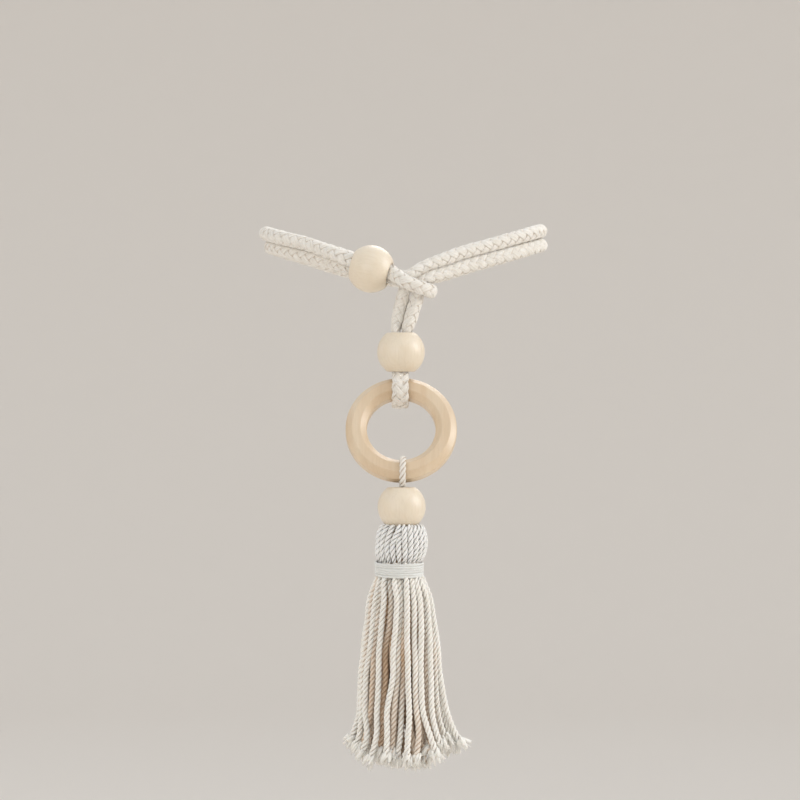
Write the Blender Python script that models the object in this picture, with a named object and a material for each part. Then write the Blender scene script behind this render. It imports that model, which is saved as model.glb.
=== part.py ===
"""Curtain tieback tassel: a doubled braided cotton rope with wooden beads, a ring and a tassel.

The rope runs double round a bundle of drapery that is not part of the object. Its upper fold is
a hook loop that comes out of the tie bead; the doubled rope from the other side goes through that
loop, hangs down through the ring bead and holds the wooden ring in its lower fold. A thin twisted
cord round the bottom of the ring carries the last bead and the yarn tassel.

Metres, +Z up, +Y towards the back. The origin is the centre of the tied loop, at the height of
its sides.
"""
import math
import random

import bmesh
import bpy
from mathutils import Vector
from mathutils.geometry import delaunay_2d_cdt

MM = 0.001
GAP = 0.3 * MM
UP = Vector((0.0, 0.0, 1.0))
BACK = Vector((0.0, 1.0, 0.0))

# rope: a round braid, laid double
ROPE_SIDES = 10
ROPE_STEP = 3.0 * MM
ROPE_END_GAP = 1.2 * MM
STITCH_DEPTH = 0.10

# beads: truncated balls with a wide bore
BEAD_RADIUS = 11.8 * MM
BEAD_HALF_LENGTH = 9.7 * MM
BORE_RADIUS = 5.5 * MM
BEAD_EDGE = 0.4 * MM
BEAD_SEGMENTS = 24
BEAD_ARC_STEPS = 7

# wooden ring, leaning with its lower edge forward, as on drapery that swells out below the tie
RING_RADIUS = 22.2 * MM
RING_SECTION = 5.35 * MM
RING_LEAN = math.radians(25)
RING_SEGMENTS = 40
RING_SIDES = 12
RING_CENTRE = Vector((-1.6, -56.4, -93.1)) * MM
RING_UP = Vector((0.0, math.sin(RING_LEAN), math.cos(RING_LEAN)))

# places of the beads and the direction of the tie bead's bore
TIE_BEAD = Vector((-16.6, -41.0, -13.2)) * MM
TIE_BEAD_AXIS = Vector((0.952, -0.160, -0.262)).normalized()
RING_BEAD = Vector((-1.7, -47.0, -54.5)) * MM
TASSEL_BEAD = Vector((-1.4, -65.8, -130.7)) * MM

# route of the doubled rope, in millimetres, from the hook loop round the bundle to the ring:
# the middle of the pair, the direction from the second rope to the first, how far apart the
# two ropes' middles are, and the half thickness of each rope along and across that direction
HOOK_OPEN = (15.6, 3.2, 3.4)
FREE = (7.2, 3.4, 3.45)
TURNING = (7.5, 3.4, 3.45)
TOUCHING = (7.0, 3.3, 3.5)
BORE = (5.3, 2.4, 3.85)
SQUEEZED = (6.4, 3.0, 3.5)
NARROWED = (5.5, 2.45, 3.8)
FLAT = (4.9, 2.25, 4.0)
PAIR_ROUTE = [
    # middle x, y, z         direction            section
    ((5.6, -44.8, -21.8), (0.0, -1.0, 0.0), HOOK_OPEN),
    ((0.0, -44.8, -19.4), (0.0, -1.0, 0.0), (14.6, 3.1, 3.4)),
    ((-6.6, -42.7, -16.0), (-0.1, -0.9, 0.4), (5.6, 2.45, 3.7)),
    ((-11.6, -41.8, -14.6), (0.0, -0.8, 0.6), BORE),
    ((-16.6, -41.0, -13.2), (0.1, -0.8, 0.6), BORE),
    ((-21.4, -40.2, -11.9), (0.1, -0.8, 0.6), BORE),
    ((-26.4, -39.3, -10.5), (-0.1, -0.7, 0.6), BORE),
    ((-31.6, -36.6, -8.8), (-0.3, -0.7, 0.7), TOUCHING),
    ((-38.5, -31.6, -6.4), (-0.3, -0.6, 0.7), FREE),
    ((-48.1, -26.4, -3.5), (-0.2, -0.4, 0.9), FREE),
    ((-59.7, -18.9, -0.5), (-0.3, -0.4, 0.9), FREE),
    ((-66.6, -8.6, 1.6), (-0.4, -0.2, 0.9), FREE),
    ((-68.5, 2.0, 2.4), (-0.3, 0.0, 0.9), FREE),
    ((-66.0, 11.4, 1.8), (-0.2, 0.1, 1.0), FREE),
    ((-58.0, 20.0, -0.3), (0.1, 0.1, 1.0), FREE),
    ((-44.0, 28.8, -4.2), (0.2, 0.0, 1.0), FREE),
    ((-30.0, 34.0, -8.4), (0.3, -0.3, 0.9), TURNING),
    ((-15.0, 36.8, -12.8), (0.2, -0.8, 0.6), TURNING),
    ((0.0, 37.6, -16.4), (0.0, -1.0, 0.3), FREE),
    ((12.0, 37.0, -13.6), (-0.2, -0.8, 0.6), TURNING),
    ((24.0, 35.2, -9.0), (-0.4, -0.3, 0.9), TURNING),
    ((44.0, 28.8, -3.2), (-0.3, 0.0, 0.9), FREE),
    ((58.0, 20.0, 0.6), (0.0, 0.0, 1.0), FREE),
    ((66.0, 11.4, 2.8), (0.0, 0.0, 1.0), FREE),
    ((68.6, 2.0, 3.4), (0.0, 0.0, 1.0), FREE),
    ((66.6, -8.6, 2.6), (-0.1, 0.0, 1.0), FREE),
    ((60.5, -17.7, 0.6), (-0.1, 0.0, 1.0), FREE),
    ((50.7, -25.3, -2.4), (-0.2, 0.0, 1.0), FREE),
    ((41.6, -29.8, -5.1), (-0.3, 0.0, 1.0), FREE),
    ((31.1, -34.3, -8.0), (-0.3, 0.0, 1.0), FREE),
    ((19.8, -39.6, -12.0), (-0.4, 0.0, 0.9), TOUCHING),
    ((11.2, -43.2, -14.9), (-0.5, 0.0, 0.8), SQUEEZED),
    ((6.0, -44.9, -18.3), (-0.8, 0.0, 0.6), SQUEEZED),
    ((3.8, -45.0, -22.8), (-0.9, 0.0, 0.3), SQUEEZED),
    ((2.6, -45.1, -28.0), (-1.0, 0.1, 0.2), TOUCHING),
    ((0.9, -45.6, -34.0), (-0.9, 0.4, 0.1), TOUCHING),
    ((-0.6, -46.3, -40.0), (-0.9, 0.4, 0.1), (6.6, 3.1, 3.5)),
    ((-1.6, -46.8, -43.6), (-0.9, 0.1, 0.1), NARROWED),
    ((-1.7, -47.0, -46.2), (-0.9, -0.1, 0.0), BORE),
    ((-1.7, -47.0, -50.0), (-0.9, -0.3, 0.0), BORE),
    ((-1.7, -47.0, -54.5), (-0.7, -0.7, 0.0), BORE),
    ((-1.8, -47.0, -59.0), (-0.2, -1.0, 0.0), BORE),
    ((-1.9, -47.0, -62.0), (-0.1, -1.0, 0.0), FLAT),
    ((-2.0, -47.0, -64.2), (0.0, -1.0, 0.0), FLAT),
]
HOOK_DIRECTION = Vector((0.951, 0.0, -0.309))
HOOK_REACH = 8.6
HOOK_SECTION = (2.6, 3.4)
HOOK_ANGLES = (-60, -30, 0, 30, 60)
RING_FOLD_RADIUS = 7.6
RING_FOLD_SECTION = (1.9, 4.0)
RING_FOLD_ANGLES = (-120, -90, -60, -30, 0, 30, 60, 90, 120)

# thin twisted cord
CORD_RADIUS = 1.65 * MM
CORD_LEG_SPACING = 3.9 * MM
CORD_SIDES = 6
CORD_STEP = 1.5 * MM
CORD_TWIST = math.radians(17)
CORD_LOBE = 0.12
CORD_LOOP = [
    # angle over the ring's lower edge, share of the cord's thickness left by the pressure
    (-45, 0.95),
    (-15, 0.78),
    (15, 0.62),
    (45, 0.60),
    (75, 0.60),
]

# tassel head, neck and skirt
HEAD_RIDGES = 24
VERTS_PER_RIDGE = 3
HEAD_DEPTH_RATIO = 0.94
SOCKET_RADIUS = 4.4
SOCKET_DEPTH = 5.0
HEAD_PROFILE = [
    # z below the head's top, radius, ridge depth, sideways (mm)
    (SOCKET_DEPTH, SOCKET_RADIUS, 0.0, 0.0),
    (0.0, SOCKET_RADIUS, 0.0, 0.0),
    (0.0, 6.8, 0.1, 0.0),
    (-0.5, 8.4, 0.4, 0.0),
    (-0.2, 9.9, 0.7, 0.0),
    (1.5, 11.6, 0.9, 0.0),
    (4.4, 12.7, 1.0, 0.0),
    (7.4, 13.0, 1.0, -0.1),
    (11.4, 12.9, 0.9, -0.3),
    (14.2, 12.4, 0.8, -0.6),
    (15.3, 12.0, 0.6, -0.7),
    (15.9, 10.8, 0.2, -0.8),
    (24.0, 10.8, 0.0, -0.8),
]
HEAD_TOP = TASSEL_BEAD.z - BEAD_HALF_LENGTH - GAP
SKIRT_ROOT = HEAD_TOP - HEAD_PROFILE[-1][0] * MM
SKIRT_ROWS = [
    # strands in the row, share of the skirt's half width
    (24, 1.0),
    (18, 0.73),
    (11, 0.46),
    (3, 0.20),
]
SKIRT_PROFILE = [
    # share of the length, half width at the strands' middles, strand width, sideways (mm)
    (0.0, 9.35, 1.75, -0.8),
    (0.02, 10.9, 1.9, -0.8),
    (0.05, 12.6, 2.4, -0.8),
    (0.11, 14.6, 2.8, -0.9),
    (0.24, 16.2, 2.9, -0.8),
    (0.40, 18.4, 2.95, -0.4),
    (0.58, 20.2, 2.95, -0.6),
    (0.72, 22.0, 2.95, 0.0),
    (0.87, 25.7, 3.0, 1.1),
    (1.0, 28.3, 2.3, 2.1),
]
SKIRT_LENGTH = 95.4 * MM
SKIRT_SIDE_SHORTER = 8.0 * MM
SKIRT_DEPTH_RATIO = 0.80
SKIRT_SPREAD = 0.10
WAVE_WIDTH = 0.9 * MM
END_JITTER = 1.4 * MM

# thread wound round the neck
WRAP_TURNS = 6
WRAP_PITCH = 1.33 * MM
WRAP_TOP = HEAD_TOP - 16.2 * MM
WRAP_INNER = 11.2 * MM
WRAP_OUTER = 12.4 * MM
WRAP_GROOVE = 0.35 * MM
WRAP_SEGMENTS = 36


def clear_scene():
    for item in list(bpy.data.objects):
        bpy.data.objects.remove(item, do_unlink=True)


def make_material(name, colour, roughness):
    material = bpy.data.materials.new(name)
    material.use_nodes = True
    shader = material.node_tree.nodes["Principled BSDF"]
    shader.inputs["Base Color"].default_value = (*colour, 1.0)
    shader.inputs["Roughness"].default_value = roughness
    shader.inputs["Metallic"].default_value = 0.0
    return material


def make_object(name, verts, faces, material, sharp_angle=60):
    mesh = bpy.data.meshes.new(name)
    mesh.from_pydata([tuple(point) for point in verts], [], faces)
    cleaner = bmesh.new()
    cleaner.from_mesh(mesh)
    bmesh.ops.triangulate(cleaner, faces=cleaner.faces[:])
    bmesh.ops.recalc_face_normals(cleaner, faces=cleaner.faces[:])
    cleaner.to_mesh(mesh)
    cleaner.free()
    mesh.materials.append(material)
    mesh.shade_smooth()
    mesh.set_sharp_from_angle(angle=math.radians(sharp_angle))
    item = bpy.data.objects.new(name, mesh)
    bpy.context.scene.collection.objects.link(item)
    return item


def bridge_rings(ring_size, ring_count, closed):
    """Quads between successive rings of vertices that are stored one after another."""
    faces = []
    for ring in range(ring_count if closed else ring_count - 1):
        low = ring * ring_size
        high = ((ring + 1) % ring_count) * ring_size
        for side in range(ring_size):
            after = (side + 1) % ring_size
            faces.append((low + side, low + after, high + after, high + side))
    return faces


def spline_rows(rows, step):
    """Points at an even step on a smooth curve through rows, whose first three numbers are a place."""
    count = len(rows)
    width = len(rows[0])
    knots = [0.0]
    for before, after in zip(rows, rows[1:]):
        knots.append(knots[-1] + math.dist(before[:3], after[:3]))
    slopes = []
    for row in range(count):
        low, high = max(row - 1, 0), min(row + 1, count - 1)
        span = knots[high] - knots[low]
        slopes.append([(rows[high][k] - rows[low][k]) / span for k in range(width)])
    steps = max(2, round(knots[-1] / step))
    points = []
    segment = 0
    for index in range(steps + 1):
        place = knots[-1] * index / steps
        while segment < count - 2 and place > knots[segment + 1]:
            segment += 1
        span = knots[segment + 1] - knots[segment]
        t = (place - knots[segment]) / span
        weights = (2 * t**3 - 3 * t**2 + 1, (t**3 - 2 * t**2 + t) * span,
                   3 * t**2 - 2 * t**3, (t**3 - t**2) * span)
        points.append([
            weights[0] * rows[segment][k] + weights[1] * slopes[segment][k]
            + weights[2] * rows[segment + 1][k] + weights[3] * slopes[segment + 1][k]
            for k in range(width)
        ])
    return points


def pair_rows(side):
    """Rows of one rope of the pair: place, outward direction and half thicknesses, in millimetres.

    The side is 1 for the first rope and -1 for the second.
    """
    rows = []
    for middle, direction, (spacing, half_along, half_across) in PAIR_ROUTE:
        outward = Vector(direction).normalized() * side
        place = Vector(middle) + outward * spacing / 2
        rows.append([*place, *outward, half_along, half_across])
    return rows


def fold_rows(centre, forward, start, angles, reach, half_gap, section):
    """Rows round a fold of the rope, from the rope on the start side to the other."""
    rows = []
    for angle in angles:
        turn = math.radians(angle)
        place = centre + start * half_gap * -math.sin(turn) + forward * reach * math.cos(turn)
        outward = (start * -math.sin(turn) + forward * math.cos(turn)).normalized()
        rows.append([*place, *outward, *section])
    return rows


def rope_rows():
    """The whole rope, from its end inside the ring bead, round the ring and back to that bead."""
    first, second = pair_rows(1), pair_rows(-1)
    cut = min(range(len(second)), key=lambda row: abs(second[row][2] - RING_BEAD.z / MM))
    upper_end, lower_end = second[cut][:], second[cut][:]
    upper_end[2] += ROPE_END_GAP / MM / 2
    lower_end[2] -= ROPE_END_GAP / MM / 2
    ring_top = (RING_CENTRE + RING_RADIUS * RING_UP) / MM
    ring_top.x = PAIR_ROUTE[-1][0][0]
    ring_fold = fold_rows(ring_top, -UP, BACK, RING_FOLD_ANGLES,
                          RING_FOLD_RADIUS, RING_FOLD_RADIUS, RING_FOLD_SECTION)
    hook_centre = Vector(PAIR_ROUTE[0][0])
    hook_fold = fold_rows(hook_centre, HOOK_DIRECTION, -BACK, HOOK_ANGLES,
                          HOOK_REACH, HOOK_OPEN[0] / 2, HOOK_SECTION)
    return ([lower_end] + second[cut + 1:] + ring_fold
            + first[::-1] + hook_fold + second[:cut] + [upper_end])


def sweep_rope(rows, step, sides):
    """A braided tube along the rows: every second stitch of each ring lies lower."""
    points = spline_rows(rows, step)
    verts = []
    last = len(points) - 1
    for index, row in enumerate(points):
        place = Vector(row[:3])
        before = Vector(points[max(index - 1, 0)][:3])
        after = Vector(points[min(index + 1, last)][:3])
        tangent = (after - before).normalized()
        outward = Vector(row[3:6])
        outward = (outward - outward.dot(tangent) * tangent).normalized()
        across = tangent.cross(outward)
        for side in range(sides):
            turn = 2 * math.pi * side / sides
            height = 1.0 - STITCH_DEPTH * ((index + side) % 2)
            verts.append((place + outward * row[6] * height * math.cos(turn)
                          + across * row[7] * height * math.sin(turn)) * MM)
    faces = bridge_rings(sides, len(points), closed=False)
    faces.append(tuple(range(sides)))
    faces.append(tuple(last * sides + side for side in range(sides)))
    return verts, faces


def make_rope(material):
    verts, faces = sweep_rope(rope_rows(), ROPE_STEP / MM, ROPE_SIDES)
    return make_object("rope", verts, faces, material)


def bead_profile():
    """Radius and height round half of a bead's section, from its upper flat down and up the bore."""
    flat_radius = math.sqrt(BEAD_RADIUS**2 - BEAD_HALF_LENGTH**2)
    limit = math.asin((BEAD_HALF_LENGTH - BEAD_EDGE) / BEAD_RADIUS)
    profile = [(BORE_RADIUS, BEAD_HALF_LENGTH - BEAD_EDGE),
               (BORE_RADIUS + BEAD_EDGE, BEAD_HALF_LENGTH),
               (flat_radius - BEAD_EDGE, BEAD_HALF_LENGTH)]
    for step in range(BEAD_ARC_STEPS + 1):
        angle = limit - 2 * limit * step / BEAD_ARC_STEPS
        profile.append((BEAD_RADIUS * math.cos(angle), BEAD_RADIUS * math.sin(angle)))
    profile += [(flat_radius - BEAD_EDGE, -BEAD_HALF_LENGTH),
                (BORE_RADIUS + BEAD_EDGE, -BEAD_HALF_LENGTH),
                (BORE_RADIUS, BEAD_EDGE - BEAD_HALF_LENGTH)]
    return profile


def make_bead(name, centre, axis, material):
    profile = bead_profile()
    verts = []
    for segment in range(BEAD_SEGMENTS):
        turn = 2 * math.pi * segment / BEAD_SEGMENTS
        for radius, height in profile:
            verts.append((radius * math.cos(turn), radius * math.sin(turn), height))
    faces = bridge_rings(len(profile), BEAD_SEGMENTS, closed=True)
    bead = make_object(name, verts, faces, material, sharp_angle=40)
    bead.location = centre
    bead.rotation_mode = "QUATERNION"
    bead.rotation_quaternion = axis.to_track_quat("Z", "Y")
    return bead


def make_ring(material):
    """A turned ring: its section is a round with eight soft flats."""
    verts = []
    for segment in range(RING_SEGMENTS):
        around = 2 * math.pi * segment / RING_SEGMENTS
        for side in range(RING_SIDES):
            turn = 2 * math.pi * side / RING_SIDES
            radius = RING_RADIUS + RING_SECTION * math.cos(turn)
            verts.append((radius * math.cos(around), RING_SECTION * math.sin(turn),
                          radius * math.sin(around)))
    faces = bridge_rings(RING_SIDES, RING_SEGMENTS, closed=True)
    ring = make_object("wood_ring", verts, faces, material)
    ring.location = RING_CENTRE
    ring.rotation_euler = (-RING_LEAN, 0.0, 0.0)
    return ring


def cord_rows():
    """Rows of the hanging cord: up from the head's socket, over the ring's lower edge and down."""
    ring_bottom = RING_CENTRE - RING_RADIUS * RING_UP
    foot = HEAD_TOP - (SOCKET_DEPTH * MM - GAP)
    bead_top = TASSEL_BEAD.z + BEAD_HALF_LENGTH
    half = CORD_LEG_SPACING / 2
    leg = [(half, foot, 1.0), (half, TASSEL_BEAD.z, 1.0), (half, bead_top - 1.0 * MM, 1.0)]
    over = []
    for angle, thickness in CORD_LOOP:
        turn = math.radians(angle)
        radius = RING_SECTION + GAP + CORD_RADIUS * thickness
        over.append((radius * math.cos(turn), ring_bottom.z + radius * math.sin(turn), thickness))
    half_route = leg + over
    route = [(-y, z, flat) for y, z, flat in half_route] + half_route[::-1]
    rows = []
    for offset, height, thickness in route:
        sway = (height - HEAD_TOP) / (ring_bottom.z - HEAD_TOP) * 0.5 * MM
        rows.append([TASSEL_BEAD.x + sway, TASSEL_BEAD.y + offset, height, thickness])
    return rows


def make_hanging_cord(material):
    """A three-strand twisted cord: three lobes that turn along it."""
    rows = spline_rows(cord_rows(), CORD_STEP)
    points = [Vector(row[:3]) for row in rows]
    verts = []
    last = len(points) - 1
    sideways = Vector((1.0, 0.0, 0.0))
    for index, place in enumerate(points):
        tangent = (points[min(index + 1, last)] - points[max(index - 1, 0)]).normalized()
        outward = (sideways - sideways.dot(tangent) * tangent).normalized()
        across = tangent.cross(outward)
        for side in range(CORD_SIDES):
            turn = 2 * math.pi * side / CORD_SIDES + CORD_TWIST * index
            radius = CORD_RADIUS * (1.0 - CORD_LOBE * (side % 2))
            thick = across * math.sin(turn) * rows[index][3]
            verts.append(place + (outward * math.cos(turn) + thick) * radius)
    faces = bridge_rings(CORD_SIDES, len(points), closed=False)
    faces.append(tuple(range(CORD_SIDES)))
    faces.append(tuple(last * CORD_SIDES + side for side in range(CORD_SIDES)))
    return make_object("hanging_cord", verts, faces, material)


def table_value(rows, share, column):
    """Value of a column at a share of the way, on the straight line between two rows."""
    for low, high in zip(rows, rows[1:]):
        if share <= high[0]:
            t = (share - low[0]) / (high[0] - low[0])
            return low[column] + (high[column] - low[column]) * t
    return rows[-1][column]


def strand_places():
    """Azimuth and share of the half width of each strand of the skirt."""
    places = []
    for count, share in SKIRT_ROWS:
        for index in range(count):
            places.append((2 * math.pi * (index + 0.5) / count, share))
    return places


def strand_ring(azimuth, row_share, t, drop):
    """Four corners of a strand's section, a share t of the way down a strand of length drop."""
    half_width = table_value(SKIRT_PROFILE, t, 1) * MM * row_share
    size = table_value(SKIRT_PROFILE, t, 2) * MM / 2
    opened = min(1.0, t / 0.3)
    depth_ratio = 1.0 - (1.0 - SKIRT_DEPTH_RATIO) * opened
    angle = azimuth + SKIRT_SPREAD * opened * math.sin(2 * azimuth)
    outward = Vector((math.cos(angle), math.sin(angle) * depth_ratio, 0.0))
    sideways = Vector((-math.sin(angle), math.cos(angle), 0.0))
    wave = WAVE_WIDTH * min(1.0, t * 1.6) * math.sin(8.0 * t + 2.0 * azimuth + 1.0)
    middle = outward * half_width + sideways * wave * row_share
    sway = table_value(SKIRT_PROFILE, t, 3) * MM
    middle += Vector((TASSEL_BEAD.x + sway, TASSEL_BEAD.y, SKIRT_ROOT - drop * t))
    radial = Vector((math.cos(angle), math.sin(angle), 0.0)) * size
    sideways *= size
    return [middle + radial - sideways, middle + radial + sideways,
            middle - radial + sideways, middle - radial - sideways]


def head_rings():
    """Rings of the ridged head and neck, from the bottom of its socket round to the underside."""
    ring_size = HEAD_RIDGES * VERTS_PER_RIDGE
    verts = []
    for below, radius, ridge, sway in HEAD_PROFILE:
        for index in range(ring_size):
            turn = 2 * math.pi * index / ring_size
            dip = ridge if index % VERTS_PER_RIDGE == 0 else 0.0
            flat = 1.0 - (1.0 - HEAD_DEPTH_RATIO) * min(1.0, ridge)
            verts.append(Vector((
                TASSEL_BEAD.x + sway * MM + (radius - dip) * MM * math.cos(turn),
                TASSEL_BEAD.y + (radius - dip) * MM * math.sin(turn) * flat,
                HEAD_TOP - below * MM)))
    return verts, ring_size


def underside_faces(rim, roots):
    """Triangles of the neck's underside between its rim and the strands' roots."""
    flat = [Vector((point.x, point.y)) for point in rim + [p for root in roots for p in root]]
    edges = [(index, (index + 1) % len(rim)) for index in range(len(rim))]
    for number in range(len(roots)):
        first = len(rim) + 4 * number
        edges += [(first + k, first + (k + 1) % 4) for k in range(4)]
    scaled = [point / MM for point in flat]
    result = delaunay_2d_cdt(scaled, edges, [], 0, 1e-6)
    points, triangles = result[0], result[2]
    nearest = [min(range(len(scaled)), key=lambda k: (scaled[k] - point).length) for point in points]
    faces = []
    for triangle in triangles:
        corners = [nearest[k] for k in triangle]
        owners = {(k - len(rim)) // 4 for k in corners}
        if min(corners) >= len(rim) and len(owners) == 1:
            continue
        faces.append(tuple(corners))
    return faces


def make_tassel(material):
    """Head, neck and strands as one solid, the strands' roots growing out of the underside."""
    rng = random.Random(11)
    verts, ring_size = head_rings()
    faces = bridge_rings(ring_size, len(HEAD_PROFILE), closed=False)
    faces.append(tuple(range(ring_size)))
    rim_start = ring_size * (len(HEAD_PROFILE) - 1)
    rim = verts[rim_start:]
    places = strand_places()
    roots = [strand_ring(azimuth, share, 0.0, 0.0) for azimuth, share in places]
    root_start = len(verts)
    for face in underside_faces(rim, roots):
        faces.append(tuple(rim_start + k for k in face))
    for root in roots:
        verts += root
    for number, (azimuth, share) in enumerate(places):
        drop = SKIRT_LENGTH - SKIRT_SIDE_SHORTER * abs(math.cos(azimuth))**3 * share
        drop -= END_JITTER * rng.random()
        above = root_start + 4 * number
        for t, _, _, _ in SKIRT_PROFILE[1:]:
            below = len(verts)
            verts += strand_ring(azimuth, share, t, drop)
            for k in range(4):
                after = (k + 1) % 4
                faces.append((above + k, above + after, below + after, below + k))
            above = below
        faces.append(tuple(above + k for k in range(4)))
    return make_object("tassel", verts, faces, material)


def make_wrap(material):
    """Thread turns round the neck, as one band with a groove between its turns."""
    profile = [(WRAP_INNER, 0.0)]
    for turn in range(WRAP_TURNS):
        top = -turn * WRAP_PITCH
        profile += [(WRAP_OUTER - WRAP_GROOVE, top), (WRAP_OUTER, top - WRAP_PITCH / 2)]
    bottom = -WRAP_TURNS * WRAP_PITCH
    profile += [(WRAP_OUTER - WRAP_GROOVE, bottom), (WRAP_INNER, bottom)]
    verts = []
    for segment in range(WRAP_SEGMENTS):
        around = 2 * math.pi * segment / WRAP_SEGMENTS
        for radius, height in profile:
            verts.append((radius * math.cos(around), radius * math.sin(around), height))
    faces = bridge_rings(len(profile), WRAP_SEGMENTS, closed=True)
    wrap = make_object("neck_wrap", verts, faces, material)
    wrap.location = (TASSEL_BEAD.x + HEAD_PROFILE[-1][3] * MM, TASSEL_BEAD.y, WRAP_TOP)
    return wrap


def build():
    clear_scene()
    cotton = make_material("cotton_rope", (0.84, 0.80, 0.72), 0.9)
    yarn = make_material("cotton_yarn", (0.86, 0.82, 0.74), 0.9)
    bead_wood = make_material("pale_wood", (0.82, 0.70, 0.52), 0.45)
    ring_wood = make_material("ring_wood", (0.76, 0.60, 0.40), 0.5)
    make_rope(cotton)
    make_bead("tie_bead", TIE_BEAD, TIE_BEAD_AXIS, bead_wood)
    make_bead("ring_bead", RING_BEAD, UP, bead_wood)
    make_bead("tassel_bead", TASSEL_BEAD, UP, bead_wood)
    make_ring(ring_wood)
    make_hanging_cord(cotton)
    make_tassel(yarn)
    make_wrap(yarn)


build()
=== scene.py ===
"""Looks of the curtain tieback tassel: a doubled braided rope, wooden beads, a ring and a tassel.

Metres, +Z up, +Y towards the back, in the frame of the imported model. The braid's strands, the
plies of every yarn, the frayed tufts, the thread round the neck and the turned wood are meshes.
"""
import math
import random

import bpy
import numpy as np
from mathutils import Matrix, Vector


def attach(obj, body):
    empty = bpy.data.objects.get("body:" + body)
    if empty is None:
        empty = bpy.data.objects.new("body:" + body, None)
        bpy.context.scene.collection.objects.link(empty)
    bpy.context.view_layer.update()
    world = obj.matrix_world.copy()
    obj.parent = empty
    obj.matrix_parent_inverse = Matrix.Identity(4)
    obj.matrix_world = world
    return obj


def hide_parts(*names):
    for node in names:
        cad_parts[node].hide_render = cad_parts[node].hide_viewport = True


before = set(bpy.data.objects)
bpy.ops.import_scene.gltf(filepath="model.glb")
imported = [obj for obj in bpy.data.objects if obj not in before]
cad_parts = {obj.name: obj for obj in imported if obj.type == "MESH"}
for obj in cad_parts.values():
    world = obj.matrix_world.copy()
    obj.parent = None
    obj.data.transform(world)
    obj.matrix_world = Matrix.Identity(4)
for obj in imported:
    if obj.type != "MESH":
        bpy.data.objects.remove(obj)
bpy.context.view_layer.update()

MM = 0.001
GAP = 0.3 * MM
UP = np.array((0.0, 0.0, 1.0))
BACK = np.array((0.0, 1.0, 0.0))

# camera: it looks level and straight at the pendant, which fills half of the frame's height
PENDANT_DEPTH = -46.0 * MM
CAMERA_DISTANCE = 2500.0 * MM
VIEW_WIDTH = 396.0 * MM
VIEW_CENTRE = (-2.2 * MM, PENDANT_DEPTH, -78.2 * MM)
SENSOR_WIDTH = 36.0

# the stage: a floor under the tassel that turns up into a wall all round
FLOOR_HEIGHT = -0.42
STAGE_RADIUS = 4.2
STAGE_CORNER = 1.2
STAGE_HEIGHT = 2.6
STAGE_HOLE = 0.02
STAGE_SEGMENTS = 96
STAGE_CORNER_STEPS = 12
STAGE_COLOUR = (232, 226, 219)

# daylight from all round, and lamps whose beams are narrow enough to leave the stage evenly lit
DAYLIGHT_COLOUR = (0.95, 0.975, 1.0, 1.0)
DAYLIGHT_STRENGTH = 0.92
LAMP_SPREAD = math.radians(90)
LAMPS = [
    # name, place, width, power, colour
    ("key", (1.44, -0.24, 0.45), 1.0, 3.2, (1.0, 1.0, 1.0)),
    ("fill", (-0.75, -1.4, 0.08), 1.4, 2.15, (0.98, 0.99, 1.0)),
    ("back", (0.33, 1.19, 0.85), 0.9, 1.5, (1.0, 0.98, 0.96)),
]

# materials; their colours are as displayed, 0 to 255
COTTONS = [
    # name, surface, its shaded fibres, the painted shade in the gaps between strands and plies, how
    # fine the fibres are
    ("rope_cotton", (241, 237, 230), (214, 206, 194), (186, 161, 133), 4.5),
    ("yarn_cotton", (251, 249, 244), (234, 229, 218), (196, 153, 104), 2.6),
    ("head_cotton", (250, 250, 249), (230, 228, 224), (132, 125, 115), 2.6),
    ("thread_cotton", (230, 231, 228), (210, 209, 205), (120, 112, 100), 2.6),
]
COTTON_SHADER = {
    "Roughness": 0.92,
    "Sheen Weight": 0.25,
    "Sheen Roughness": 0.6,
    "Specular IOR Level": 0.2,
    "Subsurface Weight": 0.15,
    "Subsurface Radius": (1.0, 0.85, 0.7),
    "Subsurface Scale": 0.5 * MM,
}
COTTON_BUMP = 0.16 * MM
WOODS = [
    # name, pale and dark bands, how finely they change along each axis, contrast, roughness, gloss
    ("bead_wood", (228, 215, 194), (226, 211, 188), (1.0, 1.0, 0.10), 0.3, 0.45, 0.75),
    ("warm_wood", (218, 198, 170), (207, 180, 146), (1.0, 0.08, 1.0), 0.22, 0.38, 0.75),
]
WOOD_SHADER = {
    "Coat Roughness": 0.3,
    "Subsurface Weight": 0.08,
    "Subsurface Radius": (1.0, 0.7, 0.4),
    "Subsurface Scale": 1.5 * MM,
}
WOOD_COAT_SHARE = 0.4
WOOD_BUMP = 0.03 * MM
WHITE = (1.0, 1.0, 1.0, 1.0)
BLACK = (0.0, 0.0, 0.0, 1.0)

# beads, the ring and their places
BEAD_RADIUS = 11.8 * MM
BEAD_HALF_LENGTH = 9.7 * MM
BORE_RADIUS = 5.5 * MM
BEAD_EDGE = 0.5 * MM
BEAD_RIM = 2.0 * MM
BEAD_SEGMENTS = 72
BEAD_EDGE_STEPS = 4
BEAD_RIM_STEPS = 6
BEAD_SIDE_STEPS = 18
TIE_BEAD = Vector((-16.6, -41.0, -13.2)) * MM
TIE_BEAD_AXIS = Vector((0.952, -0.160, -0.262)).normalized()
RING_BEAD = Vector((-1.7, -47.0, -54.5)) * MM
TASSEL_BEAD = Vector((-1.4, -65.8, -130.7)) * MM
RING_RADIUS = 22.2 * MM
RING_SECTION = 5.35 * MM
RING_FLAT = 5.22 * MM
RING_SHARPNESS = 110
RING_SEGMENTS = 144
RING_SIDES = 80
RING_LEAN = math.radians(25)
RING_CENTRE = np.array((-1.6, -56.4, -93.1)) * MM
RING_UP = np.array((0.0, math.sin(RING_LEAN), math.cos(RING_LEAN)))

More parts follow.
